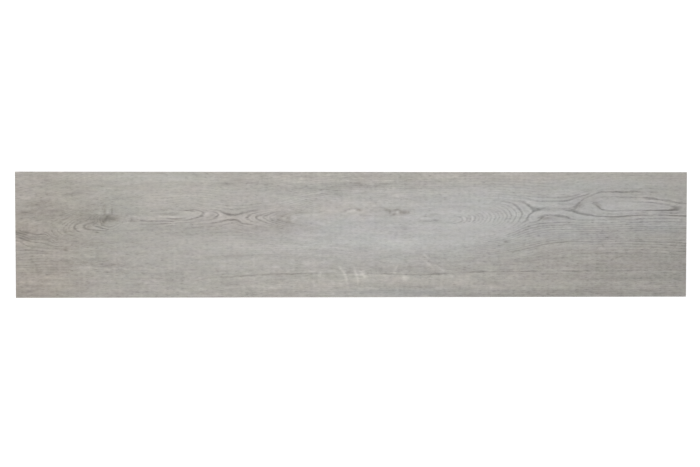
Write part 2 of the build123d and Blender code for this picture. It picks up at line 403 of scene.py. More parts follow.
# %% Pale flecks and the dark streaks beside them
FLECKS = [
    (-39, -66, 9, 2.2, 0, .06), (-27.5, -64, 4, 1.8, -40, -.045), (-23, -61, 7, 2.4, -50, .08),
    (-13.5, -78, 10, 2.4, -80, .08), (-18, -70, 5, 2.4, -65, .05), (-8, -68, 4, 3, 0, -.06),
    (4.5, -70, 8, 2.4, -68, .08), (8, -84, 6, 2.2, -85, .07), (16.5, -69, 6, 4.8, -20, .088),
    (21, -77, 3.5, 4, -60, .06), (26.5, -71, 2.4, 4, 0, -.06), (-1, -76, 3, 5, 0, -.03),
    (-61, -73, 2.4, 6, 0, .075), (-56, -78, 3, 2.6, 0, .05), (-64, -67, 3, 1.6, 0, -.05),
    (-38, -71, 16, 2, 0, -.05), (-100, -71, 26, 2.4, 0, -.035), (75, -72, 20, 2.6, 0, -.035),
    (140, -71, 26, 2.6, 0, -.03), (215, -68.5, 30, 2.2, 0, -.03), (92.5, -79, 6, 8, 0, .065),
    (77, -63, 8, 2.2, 62, .085), (76, -70, 3, 3, 0, .05), (134, -41, 8, 1.7, -38, .08),
    (136, -52.5, 10, 1.5, -38, .08), (139, -48, 12, 1.3, -38, -.035), (157, -61, 13, 1.6, -33, .08),
    (152, -54, 12, 1.4, -35, -.035), (130, -45.5, 2.4, 1.5, 0, -.04), (180, -76, 6, 2.2, -30, .05),
    (176, -82, 3, 1.9, 0, .05), (-57, 85, 9, 1.8, 0, .05), (-92, 95, 15, 2.2, 0, .05),
    (-110, 88, 12, 1.6, 0, .034), (33, 93, 13, 2.2, -6, .05), (78, 71, 9, 3, 0, .034),
    (-146, -58, 12, 1.8, -8, .05), (-80, -54, 10, 3, 0, .034), (12, 102, 10, 1.8, 0, .042),
    (-130, -72, 42, 2.6, 1, -.04), (-210, -75.5, 36, 2.4, 4, -.04), (-268, -79.5, 24, 2.2, 12, -.035),
    (-228, -39, 52, 1.6, 1, -.04), (-92, 101, 8, 1.3, 0, .045), (-100, 96, 10, 1.5, 8, .045),
    (-57, 82, 10, 1.3, 0, -.045), (-235, 100, 12, 1.4, 0, .035), (-180, 93.5, 15, 1.5, 0, -.04),
    (-160, 91, 6, 2, -20, -.035), (-228, 92, 14, 1.5, 0, -.035), (62, 97.5, 12, 1.4, 8, .04),
    (60, 93, 16, 1.4, 6, -.035), (-10, 98, 14, 1.4, -6, .035), (2, 94, 14, 1.4, -6, -.035),
    (32, 91, 10, 1.5, 0, .04), (48, 87, 26, 1.6, 0, -.03), (-100, 62.5, 10, 1.4, 8, .04),
    (-80, 74, 28, 2.2, 9, .035), (-92, 66, 24, 2, 9, .03), (-74, 70, 26, 1.6, 9, -.03),
]
MARKS = LEFT_KNOT + MIDDLE_KNOTS + WAIST_KNOTS + FLECKS
print(len(FLECKS), "flecks and streaks,", len(MARKS), "strokes in all")

# %% [markdown]
# The face has broad tones, cool and light in the middle and warm and darker at the ends, and its grain
# is calm in some places and busy in others. The broad tones are only partly the film's own: the light, cool
# middle is partly a painted highlight of an overhead light on the satin wear layer, the darker ends are
# partly painted shade where that light falls off, and a dark strip along the front edge is painted shade.
# These are ovals too, only much larger. A second list shifts only the hue, because some patches of the wash
# are rosier or yellower than the rest, and a last one names the quiet places, where the rings are in the
# wood but barely in the print.

# %% Broad tones
TONES_AND_PAINTED_LIGHT = [
    # along, across, half length, half width, tilt, change of tone, of warmth and of the grain's strength
    # Rows near either end darken it, partly as painted shade where the overhead light falls off, and the row
    # at (60, 10) lightens and cools the middle, partly as a painted highlight.
    (-560, 0, 120, 130, 0, -.026, .45, .1), (-450, 50, 90, 60, 0, -.01, .2, 0),
    (-320, 85, 140, 40, 0, .006, .1, -.3), (60, 10, 220, 60, 0, .028, -.55, -.2),
    (230, 30, 90, 60, 0, .018, -.35, -.2), (400, 45, 160, 40, 0, .01, -.5, -.1),
    (430, -55, 260, 60, 0, -.042, .1, 0), (590, 0, 60, 120, 0, -.004, 0, 0),
    (0, -95, 400, 30, 0, .004, .15, .15), (0, 105, 500, 14, 0, -.01, .2, .2),
    (-130, 14, 60, 12, 0, -.022, .1, 0), (0, 88, 150, 8, 0, -.01, 0, .1),
    (-250, -10, 150, 40, 0, .01, 0, -.2), (-600, 5, 18, 20, 0, -.01, .9, .2),
    (-580, -80, 60, 30, 0, 0, .4, .2), (430, 100, 180, 20, 0, .006, .1, -.4),
    (500, 56, 60, 11, 0, .02, 0, -.3), (-590, 90, 60, 30, 0, .006, 0, 0),
    (-60, 70, 120, 25, 0, -.006, 0, 0), (0, -12, 600, 18, 0, .008, 0, 0),
    (-400, 104, 110, 9, 0, .026, 0, -.2), (20, 90, 190, 7, 0, -.018, 0, 0),
    (-300, 8, 140, 14, 0, -.028, 0, 0), (-190, 42, 70, 9, 0, -.026, 0, 0),
    (-165, 9, 70, 13, 0, -.026, 0, 0), (-252, 22, 60, 8, 0, -.016, 0, 0),
    (-556, -6, 50, 10, 0, -.024, 0, 0), (70, -15, 110, 9, 0, .018, 0, 0), (465, 70, 70, 11, 0, -.02, 0, 0),
    # The rows centred 107 to 108 mm in front of the middle darken a strip along the front edge: painted
    # shade.
    (600, -66, 80, 60, 0, -.046, 0, 0), (400, -108, 210, 9, 0, -.062, 0, 0),
    (-600, -95, 70, 28, 0, -.028, 0, 0), (600, 10, 90, 30, 0, -.018, 0, 0),
    (600, 95, 60, 30, 0, -.022, 0, -.2), (-350, 68, 80, 8, 0, .02, 0, 0),
    (-330, -108, 210, 8, 0, -.024, 0, 0), (140, -107, 170, 9, 0, -.022, 0, 0),
    (90, -63, 190, 9, 0, -.03, 0, 0), (-430, -45, 180, 45, 0, -.016, 0, 0),
    (460, -66, 60, 30, 0, -.018, 0, 0), (-175, 90, 70, 8, 0, -.022, 0, 0), (45, 79, 50, 7, 0, .02, 0, 0),
    (-25, 55, 80, 7, 0, .018, 0, 0), (-100, 78, 70, 6, 0, -.012, 0, 0), (-360, 92, 90, 24, 0, .01, 0, 0),
    (-560, 38, 50, 10, 0, -.018, 0, 0), (-60, 25, 90, 25, 0, .008, 0, 0),
    (240, 14, 70, 13, 0, .012, 0, -.25), (-350, -10, 130, 14, 0, 0, 0, -.3),
    (-520, 12, 60, 9, 0, .012, 0, 0), (-160, 20, 40, 8, 0, .01, 0, 0), (-440, -60, 80, 22, 0, 0, 0, .3),
    (95, -26, 110, 10, 0, .012, 0, 0),
]
HUES = [
    # along, across, half length, half width, tilt, change of warmth and of rosiness
    (-20, 44, 120, 14, 0, .3, .3), (-600, 0, 45, 120, 0, -.1, .5), (-200, 22, 85, 24, 0, .2, .7),
    (-440, 45, 60, 60, 0, -.3, -.4), (-570, -96, 70, 18, 0, .25, .6), (-340, 104, 90, 10, 0, -.25, -.45),
    (560, 48, 50, 12, 0, -.2, .5), (560, 16, 55, 16, 0, -.4, 0), (450, -14, 60, 11, 0, -.2, .4),
    (90, -106, 130, 9, 0, -.5, 0), (450, 92, 130, 12, 0, -.35, -.1), (90, 20, 60, 16, 0, .1, .3),
    (390, 0, 90, 8, 0, -.3, 0),
]
QUIET = [
    # along, across, half length, half width, tilt, share of the rings' boldness that is lost
    (-560, 42, 75, 18, 18, 1), (-438, 31, 24, 10, 0, 1), (-412, 14, 22, 8, 20, .8),
    (-330, -42, 250, 22, 0, 1), (-300, -8, 200, 12, 0, .7), (-200, 90, 200, 20, 0, .4),
    (0, -56, 420, 6, 0, .9), (40, -88, 420, 8, 0, .9), (-255, -88, 60, 7, 0, .9), (-240, 62, 60, 8, 8, .7),
    (-592, 14, 26, 5, 0, .9), (385, 85, 75, 9, 6, .8), (-150, 72, 60, 10, 10, .6),
]
print(len(TONES_AND_PAINTED_LIGHT), "broad tones,", len(HUES), "shifts of hue and", len(QUIET), "quiet places")

# %% Sum of soft ovals
OVAL = slice(0, 5)
FIRST_CHANGE = 5
SECOND_CHANGE = 6
THIRD_CHANGE = 7


def oval(x, y, middle_x, middle_y, half_length, half_width, tilt):
    """A soft oval: one over e to the power of the squared distance, which is counted in half lengths along
    the tilt and in half widths across it."""
    turn = math.radians(tilt)
    along = ((x - middle_x) * math.cos(turn) + (y - middle_y) * math.sin(turn)) / half_length
    across = ((y - middle_y) * math.cos(turn) - (x - middle_x) * math.sin(turn)) / half_width
    return np.exp(-(along ** 2 + across ** 2))


def sum_of_ovals(rows, x, y, change):
    """All the rows' ovals added up, each times the change that its row gives at that place."""
    return sum(oval(x, y, *row[OVAL]) * row[change] for row in rows)


tone_in_middle = sum_of_ovals(TONES_AND_PAINTED_LIGHT, np.zeros(1), np.zeros(1), FIRST_CHANGE)
print("change of tone in the plank's middle", tone_in_middle.round(3))

# %% [markdown]
# ## The plank's surface
# The face is a height over a grid of places along and across: flat, but bevelled at its rim and pressed in
# where the plate has grain. A bump map could fake the pressing, but then the mesh would be a plain box, and
# low light along a floor shows real relief. So the press is in the mesh, as fine as its cells allow, and
# only what is finer is left to bump. Grain is long and thin, so a cell is longer along the plank than across
# it, and the cells gather at the knots, where the figure turns across the grain.

# %% Lines of the grid
BEVEL_WIDTH = 0.9
BEVEL_DEPTH = 0.5
SAMPLES = 20001
CELLS_ALONG = 504
CELLS_ACROSS = 184
GATHERED = [
    # middle, half length, extra crowding
    (-440, 45, 1.3), (75, 35, 1.2), (0, 30, .7), (-200, 60, .3), (400, 80, .3),
]


def grid_lines(half, cells, gathered=()):
    """Places from -half to half: the outline, the bevel's inner edge, then steps between the bevels.

    The crowding is one plus a bell at each gathered place, and all steps take the same share of its sum."""
    inner = half - BEVEL_WIDTH
    fine = np.linspace(-inner, inner, SAMPLES)
    crowding = np.ones_like(fine)
    for middle, reach, extra in gathered:
        crowding += extra * np.exp(-((fine - middle) / reach) ** 2)
    summed = np.cumsum(crowding) - crowding[0]
    steps = np.interp(np.linspace(0, summed[-1], cells - 1), summed, fine)
    return np.concatenate(([-half], steps, [half]))


x_lines = grid_lines(HALF_LENGTH, CELLS_ALONG, GATHERED)
y_lines = grid_lines(HALF_WIDTH, CELLS_ACROSS)
X, Y = np.meshgrid(x_lines, y_lines, indexing="ij")
inner_steps = np.diff(x_lines)[1:-1]
print("cells", inner_steps.min().round(2), "to", inner_steps.max().round(2), "mm along,",
      (y_lines[2] - y_lines[1]).round(2), "mm across")

# %% [markdown]
# The rings' numbers, spacing and boldness are worked out once on this grid. The mesh needs them for its
# relief, and the material reads them from the mesh as attributes, so that the print and the relief agree. A
# real press plate is cut from the same artwork as the film, for the same reason.
#
# The spacing in millimetres is one over the hill's steepness. Where rings come closer than about two
# millimetres a printed line would blur into its neighbour, so its ink fades out there.

# %% The rings on the grid
WIDEST_PITCH = 22.0


def smooth_step(value, start, end):
    """0 before start, 1 after end, and between them 3t2 - 2t3 of the share t of the way."""
    share = np.clip((value - start) / (end - start), 0, 1)
    return share * share * (3 - 2 * share)


ring = ring_number(X, Y)
bold = ring_boldness(X, Y, ring) * (1 - np.clip(sum_of_ovals(QUIET, X, Y, FIRST_CHANGE), 0, 1))
slope_along, slope_across = np.gradient(ring, x_lines, y_lines)
pitch = 1 / np.hypot(np.hypot(slope_along, slope_across), 1 / WIDEST_PITCH)
print("rings", ring.min().round(1), "to", ring.max().round(1), "pitch from", pitch.min().round(1), "mm")

# %% [markdown]
# A bold line is wider as well as darker, from 1.3 to 3 mm to each side of its middle, but where rings crowd
# together it takes no more than its share of the room, so that some pale wood always shows between them.
# Dark strokes are also warmer than the wood round them, as knots are.

# %% Lines and tones on the grid
FAINT_REACH = 1.3
BOLD_REACH = 3.0
ROOM_SHARE = 0.45
NO_INK_PITCH = 1.6
FULL_INK_PITCH = 3.0
KNOT_WARMTH = 3.0
reach = np.minimum(FAINT_REACH + (BOLD_REACH - FAINT_REACH) * bold, ROOM_SHARE * pitch)
ink = bold * smooth_step(pitch, NO_INK_PITCH, FULL_INK_PITCH)
mark = sum_of_ovals(MARKS, X, Y, FIRST_CHANGE)
# The broad tones carry a painted highlight in the middle and painted shade at the ends and along the front
# edge, on top of the print.
tone = sum_of_ovals(TONES_AND_PAINTED_LIGHT, X, Y, FIRST_CHANGE) + mark
warmth = sum_of_ovals(TONES_AND_PAINTED_LIGHT, X, Y, SECOND_CHANGE) + sum_of_ovals(HUES, X, Y, FIRST_CHANGE)
warmth = warmth - KNOT_WARMTH * np.minimum(mark, 0)
rosiness = sum_of_ovals(HUES, X, Y, SECOND_CHANGE)
grain = 1 + sum_of_ovals(TONES_AND_PAINTED_LIGHT, X, Y, THIRD_CHANGE)
print("tone from", tone.min().round(2), "to", tone.max().round(2))

# %% [markdown]
# The press has three parts: a groove along each bold ring, short ticks along the grain, as open pores make
# them, and a slow swell. It fades out before the bevel, so the rim stays straight.

# %% Relief of the pressed face
PRESS_DEPTH = 0.14
GROOVE_SHARE = 0.8
TICK_SHARE = 0.6
SWELL_SHARE = 0.25
TICK_LENGTH = 16.0
TICK_WIDTH = 2.4
TICK_START = 0.2
TICK_FULL = 0.9
SWELL_LENGTH = 60.0
SWELL_WIDTH = 7.0
FLAT_RIM = 1.0
FULL_PRESS = 6.0


def lattice_noise(x, y, cell_along, cell_across, seed):
    """Smooth random hills from -1 to 1: random heights at a lattice's corners, and a smooth step from one
    corner to the next, first across and then along."""
    size = (int(LENGTH / cell_along) + 3, int(WIDTH / cell_across) + 3)
    heights = np.random.default_rng(seed).uniform(-1, 1, size)
    along = (x + HALF_LENGTH) / cell_along
    across = (y + HALF_WIDTH) / cell_across
    i = along.astype(int)
    j = across.astype(int)
    share_along = smooth_step(along - i, 0, 1)
    share_across = smooth_step(across - j, 0, 1)
    near = heights[i, j] * (1 - share_across) + heights[i, j + 1] * share_across
    far = heights[i + 1, j] * (1 - share_across) + heights[i + 1, j + 1] * share_across
    return near * (1 - share_along) + far * share_along


off_line = np.abs(ring - np.round(ring)) * pitch
groove = ink * (1 - smooth_step(off_line, 0, reach))
ticks = smooth_step(lattice_noise(X, Y, TICK_LENGTH, TICK_WIDTH, seed=4), TICK_START, TICK_FULL)
swell = 0.5 + 0.5 * lattice_noise(X, Y, SWELL_LENGTH, SWELL_WIDTH, seed=5)
rim = np.minimum(HALF_LENGTH - np.abs(X), HALF_WIDTH - np.abs(Y))
press = np.clip(groove * GROOVE_SHARE + ticks * TICK_SHARE + swell * SWELL_SHARE, 0, 1)
press = press * smooth_step(rim, FLAT_RIM, FULL_PRESS)
Z = THICKNESS - PRESS_DEPTH * press - BEVEL_DEPTH * (rim < BEVEL_WIDTH / 2)
print("deepest press", (PRESS_DEPTH * press.max()).round(2), "mm")

# %% [markdown]
# ## Walls and back
# The wall drops from the bevel to a small ease, where the punch rounds the lower edge, and then the back
# closes the plank. The back is flat, so it needs only every eighth line of the grid. Its outer cells still
# take in each fine step of the wall as one more corner, so the skin has no gaps.

# %% Points of the walls and the back
BACK_EASE = 0.2
BACK_STEP = 8
perimeter = np.concatenate([
    [(i, 0) for i in range(CELLS_ALONG)],
    [(CELLS_ALONG, j) for j in range(CELLS_ACROSS)],
    [(i, CELLS_ACROSS) for i in range(CELLS_ALONG, 0, -1)],
    [(0, j) for j in range(CELLS_ACROSS, 0, -1)],
])
rim_x = x_lines[perimeter[:, 0]]
rim_y = y_lines[perimeter[:, 1]]
ease_x = np.clip(rim_x, -HALF_LENGTH + BACK_EASE, HALF_LENGTH - BACK_EASE)
ease_y = np.clip(rim_y, -HALF_WIDTH + BACK_EASE, HALF_WIDTH - BACK_EASE)
coarse = slice(BACK_STEP, -1, BACK_STEP)
inner_x, inner_y = np.meshgrid(x_lines[coarse], y_lines[coarse], indexing="ij")
places = np.concatenate([
    np.column_stack((X.ravel(), Y.ravel(), Z.ravel())),
    np.column_stack((rim_x, rim_y, np.full_like(rim_x, BACK_EASE))),
    np.column_stack((ease_x, ease_y, np.zeros_like(rim_x))),
    np.column_stack((inner_x.ravel(), inner_y.ravel(), np.zeros(inner_x.size))),
])
print(len(places), "points,", len(perimeter), "of them round the rim")

# %% Faces of the plank
face_number = np.arange(X.size).reshape(X.shape)
face_rim = face_number[perimeter[:, 0], perimeter[:, 1]]
foot_rim = X.size + np.arange(len(perimeter))
back_rim = foot_rim + len(perimeter)
back_number = np.zeros(X.shape, int)
back_number[perimeter[:, 0], perimeter[:, 1]] = back_rim
back_number[coarse, coarse] = back_rim[-1] + 1 + np.arange(inner_x.size).reshape(inner_x.shape)


def strip(upper, lower):
    """Four-sided faces between two closed loops of points that run round the plank as seen from above."""
    return np.column_stack((upper, lower, np.roll(lower, -1), np.roll(upper, -1)))


def back_cell(i, j):
    """One cell of the back, seen from below: its four sides, with fine steps where one lies on the rim."""
    right, top = i + BACK_STEP, j + BACK_STEP
    fine = range(BACK_STEP)
    sides = [
        [(i + k, j) for k in (fine if j == 0 else (0,))],
        [(right, j + k) for k in (fine if right == CELLS_ALONG else (0,))],
        [(right - k, top) for k in (fine if top == CELLS_ACROSS else (0,))],
        [(i, top - k) for k in (fine if i == 0 else (0,))],
    ]
    return [int(back_number[place]) for side in sides for place in side][::-1]


face_quads = np.stack(
    (face_number[:-1, :-1], face_number[1:, :-1], face_number[1:, 1:], face_number[:-1, 1:]), -1
).reshape(-1, 4)
wall_quads = np.concatenate((strip(face_rim, foot_rim), strip(foot_rim, back_rim)))
back_cells = [
    back_cell(i, j) for i in range(0, CELLS_ALONG, BACK_STEP) for j in range(0, CELLS_ACROSS, BACK_STEP)
]
print(2 * (len(face_quads) + len(wall_quads)) + sum(len(cell) - 2 for cell in back_cells), "triangles")

# %% [markdown]
# The whole skin is one closed mesh with three finishes: slot 0 is the printed face, slot 1 is the cut edge
# and slot 2 is the back. What was worked out on the grid goes along as attributes, one number a point.

# %% Make the mesh
SHARP_ANGLE = math.radians(24)
mesh = bpy.data.meshes.new("plank")
mesh.from_pydata(places * MM, [], face_quads.tolist() + wall_quads.tolist() + back_cells)
slots = np.repeat([0, 1, 2], [len(face_quads), len(wall_quads), len(back_cells)])
mesh.polygons.foreach_set("material_index", slots.astype(np.int32))
mesh.polygons.foreach_set("use_smooth", np.ones(len(slots), bool))
mesh.set_sharp_from_angle(angle=SHARP_ANGLE)


def keep_on_points(name, values):
    """Keeps a number for each point of the face as an attribute of the mesh, and zero for those below."""
    whole = np.zeros(len(places), np.float32)
    whole[: values.size] = values.ravel()
    mesh.attributes.new(name, "FLOAT", "POINT").data.foreach_set("value", whole)


on_face = {
    "ring": ring, "pitch": pitch, "reach": reach, "ink": ink,
    "tone": tone, "warmth": warmth, "rosiness": rosiness, "grain": grain,
}
for name, values in on_face.items():
    keep_on_points(name, values)
plank = bpy.data.objects.new("plank", mesh)
bpy.context.scene.collection.objects.link(plank)
print("every edge has two faces:", len(mesh.loops) == 2 * len(mesh.edges))

# %% [markdown]
# ## The printed face
# The real face is a film printed in a few soft inks, sealed under clear polyurethane. The eye reads a grey
# wash first, then dark ring lines, then thousands of short fibres and pores along the grain. Over it all
# lies a satin sheen. An image would hold one plank only, so we build the print from noise, line by line.
#
# A few helpers serve every material. One turns a colour as we see it into the linear light that the renderer
# works in, one adds a node with its settings and links, and one gives the place in millimetres. Inputs that
# share a name are given by number: a Map Range has its value at 0, the old range at 1 and 2 and the new one
# at 3 and 4, and a Mix of colours has its share at 0 and the colours at 6 and 7.

# %% Helpers for the materials


def linear(hex_colour):
    """An sRGB hex colour as linear red, green and blue, with full alpha. The curve between them is a
    straight line in the darkest tones, and a power of 2.4 above."""
    seen = np.array([int(hex_colour[k:k + 2], 16) for k in (1, 3, 5)]) / 255
    light = np.where(seen <= 0.04045, seen / 12.92, ((seen + 0.055) / 1.055) ** 2.4)
    return (*light, 1.0)


def add(tree, kind, inputs, **settings):
    """Adds a node with its settings. Its inputs, by name or number, take a value, a socket or a node's first
    output."""
    made = tree.nodes.new("ShaderNode" + kind)
    for name, value in settings.items():
        setattr(made, name, value)
    for name, value in inputs.items():
        if isinstance(value, bpy.types.Node):
            value = value.outputs[0]
        if isinstance(value, bpy.types.NodeSocket):
            tree.links.new(value, made.inputs[name])
        else:
            made.inputs[name].default_value = value
    return made


def new_material(name):
    """A material with an empty node tree."""
    material = bpy.data.materials.new(name)
    material.use_nodes = True
    material.node_tree.nodes.clear()
    return material, material.node_tree


def place_in_mm(tree):
    """The place on the object in millimetres: its Object coordinates over the length of a millimetre."""
    in_metres = add(tree, "TexCoord", {}).outputs["Object"]
    return add(tree, "VectorMath", {0: in_metres, "Scale": 1 / MM}, operation="SCALE")


print("mid grey #808080 sends back", round(float(linear("#808080")[0]), 3), "of the light")

# %% [markdown]
# Every pattern reads one of two places, both in millimetres. The first is the plain place along and across.
# The second puts the ring number in place of the width, so a pattern drawn there bends with the rings.

# %% Where the print is on the plank
RING_WIDTH = 3.8
film, oak = new_material("limed_oak_film_satin_urethane")
attribute = {name: add(oak, "Attribute", {}, attribute_name=name).outputs["Fac"] for name in on_face}
place = place_in_mm(oak)
axes = add(oak, "SeparateXYZ", {0: place})
ring_across = add(oak, "Math", {0: attribute["ring"], 1: RING_WIDTH}, operation="MULTIPLY")
bent_place = add(oak, "CombineXYZ", {"X": axes.outputs["X"], "Y": ring_across})
print(len(attribute), "numbers read from the mesh")

# %% [markdown]
# Nothing in oak is dead straight or even. Six slow noises are made first, for the later steps to bend, break
# and tint the print with. Each is stretched over a length and a width in millimetres, and nearly all of it
# lies between 0.3 and 0.7. A noise is calmest along the lines of its own grid, so each starts from a place
# of its own, and those lines never meet.

# %% Noises that bend, break and tint
NOISE_LOW = 0.3
NOISE_HIGH = 0.7
FARTHEST_START = 90
UNEVEN = [
    # name, length, width, octaves
    ("sway", 75, 16, 2),
    ("waver", 30, 5, 3),
    ("gaps", 14, 2, 3),
    ("drift", 55, 20, 2),
    ("tinge", 22, 9, 2),
    ("weight", 24, 7, 2),
]
layers = {}
start = np.random.default_rng(7)
for name, length, width, octaves in UNEVEN:
    stretch = (1 / length, 1 / width, 1)
    origin = start.uniform(0, FARTHEST_START, 3)
    scaled = add(oak, "VectorMath", {0: place, 1: stretch, 2: origin}, operation="MULTIPLY_ADD")
    noise_inputs = {"Vector": scaled, "Scale": 1, "Detail": octaves}
    layers[name] = add(oak, "TexNoise", noise_inputs, noise_dimensions="2D")
print(len(UNEVEN), "slow noises")

# %% Sway of the fibres
SWAY = 5.0
sway = add(oak, "Math", {0: layers["sway"], 1: SWAY, 2: -SWAY / 2}, operation="MULTIPLY_ADD")
sway_across = add(oak, "CombineXYZ", {"Y": sway})
swayed = add(oak, "VectorMath", {0: place, 1: sway_across}, operation="ADD")
print("sway up to", SWAY / 2, "mm each way")

# %% [markdown]
# Oak has fibres of many lengths. Each row below is one layer of noise, with the length and width of its
# streaks in millimetres. The wash bends with the rings, so each ring has a tone of its own. The thin layers
# follow a slow sway, which moves them up and down by about a millimetre, and the broad ones have no need of
# it. The clouds are where the wash took unevenly, and the mottle is the dull patches that rays leave.

# %% Fibres
GREY = 0.656
GRAIN = [
    # name, place, length, width, octaves, roughness, strength
    ("wash", bent_place, 240, 9, 2, .5, .061),
    ("bands", place, 260, 16, 2, .5, .041),
    ("streaks", swayed, 62, 7.4, 3, .5, .080),
    ("dashes", swayed, 23, 4.8, 2, .5, .055),
    ("fibres", swayed, 12, 2.9, 3, .55, .067),
    ("clouds", place, 46, 20, 2, .5, .060),
    ("mottle", place, 8, 6.5, 2, .5, .066),
    ("hairs", swayed, 7, .55, 2, .6, .073),
]
woven = -sum(row[-1] for row in GRAIN) / 2
for name, where, length, width, octaves, roughness, strength in GRAIN:
    stretch = (1 / length, 1 / width, 1)
    origin = start.uniform(0, FARTHEST_START, 3)
    scaled = add(oak, "VectorMath", {0: where, 1: stretch, 2: origin}, operation="MULTIPLY_ADD")
    noise_inputs = {"Vector": scaled, "Scale": 1, "Detail": octaves, "Roughness": roughness}
    layers[name] = add(oak, "TexNoise", noise_inputs, noise_dimensions="2D")
    woven = add(oak, "Math", {0: layers[name], 1: strength, 2: woven}, operation="MULTIPLY_ADD")
woven = add(oak, "Math", {0: woven, 1: attribute["grain"]}, operation="MULTIPLY")
shade = add(oak, "Math", {0: attribute["tone"], 1: GREY}, operation="ADD")
shade = add(oak, "Math", {0: shade, 1: woven}, operation="ADD")
print(len(GRAIN), "layers of fibres")

# %% [markdown]
# A ring's dark line is where its number is whole. Ping-pong folds the number into its distance from the
# nearest whole one, and the spacing turns that into millimetres. A little noise makes the line waver, and
# more makes it swell and thin like a brush stroke. Beside each dark line the wood is paler, because lime
# stays in its softer side. The pale border starts inside the line's reach, and ends at 2.3 times it.

# %% Ring lines
WAVER = 1.3
HALF_RING = 0.5
THINNEST = 0.6
THICKEST = 1.45
PALE_SHARE = 0.4
PALE_INNER = 0.4
PALE_WHOLE = 1.1
PALE_FADING = 0.8
PALE_REACH = 2.3
waver = add(oak, "Math", {0: layers["waver"], 1: 2 * WAVER, 2: -WAVER}, operation="MULTIPLY_ADD")
shift = add(oak, "Math", {0: waver, 1: attribute["pitch"]}, operation="DIVIDE")
wavy_ring = add(oak, "Math", {0: attribute["ring"], 1: shift}, operation="ADD")
off_ring = add(oak, "Math", {0: wavy_ring, 1: HALF_RING}, operation="PINGPONG")
off_mm = add(oak, "Math", {0: off_ring, 1: attribute["pitch"]}, operation="MULTIPLY")
weight = add(oak, "MapRange", {0: layers["weight"], 1: NOISE_LOW, 2: NOISE_HIGH, 3: THINNEST, 4: THICKEST})
wide = add(oak, "Math", {0: attribute["reach"], 1: weight}, operation="MULTIPLY")
off_reach = add(oak, "Math", {0: off_mm, 1: wide}, operation="DIVIDE")
core = add(oak, "MapRange", {0: off_reach, 1: 0, 2: 1, 3: 1, 4: 0}, interpolation_type="SMOOTHSTEP")
rising = add(oak, "MapRange", {0: off_reach, 1: PALE_INNER, 2: PALE_WHOLE}, interpolation_type="SMOOTHSTEP")
falling_range = {0: off_reach, 1: PALE_FADING, 2: PALE_REACH, 3: PALE_SHARE, 4: 0}
falling = add(oak, "MapRange", falling_range, interpolation_type="SMOOTHSTEP")
pale = add(oak, "Math", {0: falling, 1: rising}, operation="MULTIPLY")
line = add(oak, "Math", {0: core, 1: pale}, operation="SUBTRACT")
print("ring lines up to", (2 * reach.max()).round(1), "mm wide")

# %% [markdown]
# More noise breaks the lines into dashes, faint lines more than bold ones: what a break takes away is
# multiplied by what the ink leaves free.

# %% Breaks in the lines
LINE_DEPTH = 0.090
BREAK_SHARE = 0.9
BROKEN_BELOW = 0.36
WHOLE_ABOVE = 0.56
MOST_FREE = 1.1
gaps = add(oak, "MapRange", {0: layers["gaps"], 1: BROKEN_BELOW, 2: WHOLE_ABOVE, 3: BREAK_SHARE, 4: 0})
free = add(oak, "Math", {0: MOST_FREE, 1: attribute["ink"]}, operation="SUBTRACT")
lost = add(oak, "Math", {0: gaps, 1: free}, operation="MULTIPLY")
kept = add(oak, "Math", {0: 1, 1: lost}, operation="SUBTRACT", use_clamp=True)
printed = add(oak, "Math", {0: attribute["ink"], 1: kept}, operation="MULTIPLY")
printed = add(oak, "Math", {0: printed, 1: line}, operation="MULTIPLY")
shade = add(oak, "Math", {0: printed, 1: -LINE_DEPTH, 2: shade}, operation="MULTIPLY_ADD")
print("the boldest line is", LINE_DEPTH, "darker than the wood")

# %% [markdown]
# Pores are the vessels that the saw has opened. They are far thinner than the camera can see from above, but
# near the plank they are what says oak. They are drawn at 0.5 mm wide, twice their real width, and only the
# highest tenth of their noise shows. Oak's widest vessels grow in spring, so the printed rings raise the
# noise and pores crowd on them. Dark wood round a knot raises it too, and pale flecks lower it.

# %% Pores
PORE_LENGTH = 9.0
PORE_WIDTH = 0.5
PORE_DEPTH = 0.10
PORE_START = 0.62
PORE_FULL = 0.72
RING_CROWDING = 0.12
TONE_CROWDING = 0.3
pore_stretch = (1 / PORE_LENGTH, 1 / PORE_WIDTH, 1)
pore_place = add(oak, "VectorMath", {0: swayed, 1: pore_stretch}, operation="MULTIPLY")
pore_noise = add(oak, "TexNoise", {"Vector": pore_place, "Scale": 1, "Detail": 1}, noise_dimensions="2D")
crowded = add(oak, "Math", {0: printed, 1: RING_CROWDING, 2: pore_noise}, operation="MULTIPLY_ADD")
crowded = add(oak, "Math", {0: attribute["tone"], 1: -TONE_CROWDING, 2: crowded}, operation="MULTIPLY_ADD")
pores = add(oak, "MapRange", {0: crowded, 1: PORE_START, 2: PORE_FULL}, interpolation_type="SMOOTHSTEP")
shade = add(oak, "Math", {0: pores, 1: -PORE_DEPTH, 2: shade}, operation="MULTIPLY_ADD")
print("pores", PORE_LENGTH, "by", PORE_WIDTH, "mm")

# %% [markdown]
# So far the shade is in the even steps that the eye sees. The renderer wants light, which is roughly the
# shade to the power of 2.2. The grey is never neutral: it is tinted from cool, in the pale middle, whose
# coolness is partly a painted highlight, to warm at the ends and round the knots. A slow drift moves it
# between a green and a rosy grey, and a smaller tinge between a yellow and a blue one. A tint multiplies the
# light. All of them have green near one, so they change the hue, not the tone.

